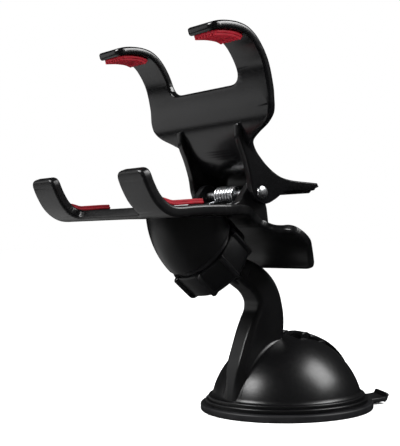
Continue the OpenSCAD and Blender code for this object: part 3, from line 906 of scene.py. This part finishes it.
def moulded_plastic(name, dark, light, rough_low, rough_high, grain, specular=0.5):
    """Black moulded plastic: a fine spark-eroded grain, slow flow marks and slightly rubbed edges."""
    material, tree, shader, place = new_material(name)
    flow = noise(tree, place, 55, 2.0, 0.5)
    fine = noise(tree, place, 2600, 2.5, 0.6)
    dust = noise(tree, place, 900, 4.0, 0.7)
    colour = blend_colours(tree, between(tree, flow, 0, 1), dark, light)
    colour = worn_edges(tree, colour, [min(c * 2.2, 1) for c in light], 0.5)
    tree.links.new(colour, shader.inputs["Base Color"])
    tree.links.new(between(tree, dust, rough_low, rough_high), shader.inputs["Roughness"])
    shader.inputs["Specular IOR Level"].default_value = specular
    tree.links.new(raised(tree, [(fine, 0.00004, grain), (flow, 0.0002, 0.05)]), shader.inputs["Normal"])
    return material


def black_rubber():
    """Soft black rubber with a faint bloom and a fine grain."""
    material, tree, shader, place = new_material("black_rubber")
    bloom = noise(tree, place, 140, 4.0, 0.6)
    fine = noise(tree, place, 2600, 3.0, 0.6)
    colour = blend_colours(tree, between(tree, bloom, 0, 1), (0.004, 0.004, 0.005), (0.008, 0.008, 0.009))
    tree.links.new(colour, shader.inputs["Base Color"])
    tree.links.new(between(tree, bloom, 0.42, 0.58), shader.inputs["Roughness"])
    shader.inputs["Specular IOR Level"].default_value = 0.3
    tree.links.new(raised(tree, [(fine, 0.00003, 0.25)]), shader.inputs["Normal"])
    return material


def red_rubber():
    """Matt red rubber, slightly mottled, with fine pores."""
    material, tree, shader, place = new_material("red_rubber")
    mottle = noise(tree, place, 420, 4.0, 0.6)
    pores = noise(tree, place, 3800, 3.0, 0.65)
    colour = blend_colours(tree, between(tree, mottle, 0, 1), (0.15, 0.002, 0.006), (0.22, 0.004, 0.012))
    tree.links.new(colour, shader.inputs["Base Color"])
    tree.links.new(between(tree, mottle, 0.45, 0.62), shader.inputs["Roughness"])
    shader.inputs["Specular IOR Level"].default_value = 0.15
    shader.inputs["Subsurface Weight"].default_value = 0.08
    shader.inputs["Subsurface Scale"].default_value = 0.001
    tree.links.new(raised(tree, [(pores, 0.00004, 0.35)]), shader.inputs["Normal"])
    return material


def plated_steel():
    """Plated steel with fine turning lines round X, the way that the pins lie, and a few dull specks."""
    material, tree, shader, place = new_material("plated_steel")
    lines = noise(tree, place, 700, 4.0, 0.7, stretch=(9, 1, 1))
    specks = noise(tree, place, 1500, 3.0, 0.6)
    colour = blend_colours(tree, between(tree, specks, 0, 1), (0.60, 0.61, 0.63), (0.78, 0.79, 0.80))
    tree.links.new(colour, shader.inputs["Base Color"])
    shader.inputs["Metallic"].default_value = 1.0
    tree.links.new(between(tree, lines, 0.18, 0.34), shader.inputs["Roughness"])
    tree.links.new(raised(tree, [(lines, 0.00001, 0.3)]), shader.inputs["Normal"])
    return material


def black_nylon():
    """Black nylon: slightly cloudy, with a waxy sheen."""
    material, tree, shader, place = new_material("black_nylon")
    cloud = noise(tree, place, 260, 3.0, 0.5)
    fine = noise(tree, place, 3000, 2.0, 0.5)
    colour = blend_colours(tree, between(tree, cloud, 0, 1), (0.003, 0.003, 0.0035), (0.006, 0.006, 0.0065))
    tree.links.new(colour, shader.inputs["Base Color"])
    tree.links.new(between(tree, cloud, 0.35, 0.5), shader.inputs["Roughness"])
    shader.inputs["Specular IOR Level"].default_value = 0.3
    tree.links.new(raised(tree, [(fine, 0.00002, 0.2)]), shader.inputs["Normal"])
    return material


SATIN = moulded_plastic("satin_black_plastic", (0.0014, 0.0014, 0.0017), (0.0024, 0.0024, 0.0027),
                        rough_low=0.28, rough_high=0.36, grain=0.30, specular=0.35)
SMOOTH = moulded_plastic("smooth_black_plastic", (0.0014, 0.0014, 0.0016), (0.0022, 0.0022, 0.0025),
                         rough_low=0.16, rough_high=0.24, grain=0.10, specular=0.45)
RUBBER = black_rubber()
RED = red_rubber()
STEEL = plated_steel()
NYLON = black_nylon()


# ---- the object ----


def put(piece, body, material, slot, *nodes):
    """Gives a piece its material and says which body it rides on and which CAD nodes it stands for."""
    piece.data.materials.clear()
    piece.data.materials.append(material)
    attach(piece, body)
    if nodes:
        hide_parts(*nodes)
    return piece


put(suction_disc(), "root", RUBBER, "black_rubber", "suction_disc")
put(base_ring(), "root", SATIN, "black_plastic", "base_ring")
put(base_dome(), "root", SATIN, "black_plastic", "base_dome")
put(arm(), "root", SATIN, "black_plastic", "arm")
put(lock_lever(), "lever", SATIN, "black_plastic", "lock_lever")
put(socket_housing(), "clip", SATIN, "black_plastic", "socket_housing")
put(lock_nut(), "nut", SATIN, "black_plastic", "lock_nut")
put(lower_jaw(), "clip", SATIN, "black_plastic", "lower_jaw")
put(upper_jaw(), "jaw", SMOOTH, "gloss_plastic", "upper_jaw")
for side, hand in ((-1, "left"), (1, "right")):
    put(lower_pad(side), "clip", RED, "red_rubber", "lower_pad_" + hand)
    put(upper_pad(side), "jaw", RED, "red_rubber", "upper_pad_" + hand)
put(pivot_pin(), "jaw", STEEL, "steel", "pivot_pin")

membrane = lathe("suction_membrane_skin", membrane_profile(), segments=128)
membrane.data.materials.append(RUBBER)
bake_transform(membrane)
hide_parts("suction_membrane")

spring = closing_spring()
spring.data.materials.append(STEEL)
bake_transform(spring)
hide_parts("closing_spring")

KEPT = {"ball": SMOOTH, "ring_screws": STEEL, "arm_screw": STEEL, "pull_stem": NYLON, "lever_pin": STEEL,
        "seat_cup": NYLON, "friction_ring": RUBBER, "housing_screws": STEEL, "pin_cap": STEEL}
for name, material in KEPT.items():
    node_mesh = frame["nodes"][name].data
    node_mesh.materials.clear()
    node_mesh.materials.append(material)
    node_mesh.shade_smooth()
    node_mesh.set_sharp_from_angle(angle=math.radians(35))


# ---- floor, light and camera ----


FLOOR_REACH = 4000
FLOOR_Z = -0.02
PATCH_CENTRE = (-0.18, -0.15, 0)
PATCH_R = 0.10
PATCH_FADE_R = 0.21


def floor_material():
    """Matt white. In reflections it is black but for a dim patch in front, on the left."""
    material, tree, shader, place = new_material("pale_floor")
    shader.inputs["Base Color"].default_value = (1.0, 1.0, 1.0, 1)
    shader.inputs["Roughness"].default_value = 0.8
    shader.inputs["Specular IOR Level"].default_value = 0.0
    apart = tree.nodes.new("ShaderNodeVectorMath")
    apart.operation = "DISTANCE"
    apart.inputs[1].default_value = PATCH_CENTRE
    tree.links.new(place, apart.inputs[0])
    outside = between(tree, apart.outputs["Value"], 0.72, 1, PATCH_R, PATCH_FADE_R)
    path = tree.nodes.new("ShaderNodeLightPath")
    hidden = tree.nodes.new("ShaderNodeMath")
    hidden.operation = "MULTIPLY"
    tree.links.new(path.outputs["Is Glossy Ray"], hidden.inputs[0])
    tree.links.new(outside, hidden.inputs[1])
    black = tree.nodes.new("ShaderNodeEmission")
    black.inputs["Strength"].default_value = 0
    mix = tree.nodes.new("ShaderNodeMixShader")
    tree.links.new(hidden.outputs["Value"], mix.inputs["Fac"])
    tree.links.new(shader.outputs["BSDF"], mix.inputs[1])
    tree.links.new(black.outputs["Emission"], mix.inputs[2])
    output = next(node for node in tree.nodes if node.type == "OUTPUT_MATERIAL")
    tree.links.new(mix.outputs["Shader"], output.inputs["Surface"])
    return material


def stage_floor():
    """A plain square floor, just under the base."""
    bm = bmesh.new()
    for x, y in ((-1, -1), (1, -1), (1, 1), (-1, 1)):
        bm.verts.new((x * FLOOR_REACH, y * FLOOR_REACH, FLOOR_Z))
    bm.faces.new(bm.verts)
    floor = finish_mesh("floor", bm)
    floor.data.materials.append(floor_material())


def soft_light(name, direction, distance, size, power, target=(0, 0, 0.06)):
    """A soft box that faces the target from a direction."""
    light = bpy.data.lights.new(name, "AREA")
    light.shape = "RECTANGLE"
    light.size, light.size_y = size
    light.energy = power
    lamp = bpy.data.objects.new(name, light)
    toward = Vector(direction).normalized()
    lamp.location = Vector(target) + toward * distance
    lamp.rotation_euler = toward.to_track_quat("Z", "Y").to_euler()
    bpy.context.collection.objects.link(lamp)


def set_world(seen, mirrored):
    """A plain white backdrop that shows only faintly in glossy surfaces, as in a dark studio."""
    world = bpy.data.worlds.new("studio")
    world.use_nodes = True
    tree = world.node_tree
    backdrop = tree.nodes["Background"]
    backdrop.inputs["Strength"].default_value = seen
    gloss = tree.nodes.new("ShaderNodeBackground")
    gloss.inputs["Strength"].default_value = mirrored
    for node in (backdrop, gloss):
        node.inputs["Color"].default_value = (1, 1, 1, 1)
    path = tree.nodes.new("ShaderNodeLightPath")
    mix = tree.nodes.new("ShaderNodeMixShader")
    tree.links.new(path.outputs["Is Glossy Ray"], mix.inputs["Fac"])
    tree.links.new(backdrop.outputs["Background"], mix.inputs[1])
    tree.links.new(gloss.outputs["Background"], mix.inputs[2])
    tree.links.new(mix.outputs["Shader"], tree.nodes["World Output"].inputs["Surface"])
    bpy.context.scene.world = world


CAMERA_AT = (0.26114, -0.25165, 0.06545)
CAMERA_TURN = (50.974, -0.661, -1.156)
CAMERA_LENS = 77.54


def set_camera():
    """The photo's view: from the front right and almost level, a little above the ball's height."""
    azimuth, pitch, roll = (math.radians(a) for a in CAMERA_TURN)
    right = Vector((math.cos(azimuth), math.sin(azimuth), 0))
    ahead = Vector((-math.sin(azimuth) * math.cos(pitch), math.cos(azimuth) * math.cos(pitch),
                    -math.sin(pitch)))
    up = right.cross(ahead)
    right_rolled = right * math.cos(roll) + up * math.sin(roll)
    up_rolled = up * math.cos(roll) - right * math.sin(roll)
    turn = Matrix((right_rolled, up_rolled, -ahead)).transposed()
    data = bpy.data.cameras.new("camera")
    data.lens = CAMERA_LENS
    data.sensor_width = 36
    data.clip_start = 0.01
    camera = bpy.data.objects.new("camera", data)
    camera.matrix_world = Matrix.Translation(CAMERA_AT) @ turn.to_4x4()
    bpy.context.collection.objects.link(camera)
    bpy.context.scene.camera = camera


stage_floor()
set_world(seen=1.0, mirrored=0.03)
soft_light("front_box", (-0.276, -0.757, 0.592), distance=0.6, size=(0.25, 0.27), power=4.8)
soft_light("rear_box", (0.591, 0.429, 0.683), distance=0.6, size=(0.32, 0.36), power=5.1)
soft_light("left_card", (-0.80, -0.58, 0.05), distance=0.8, size=(0.40, 0.50), power=0.5)
bpy.context.scene.view_settings.view_transform = "Standard"
set_camera()
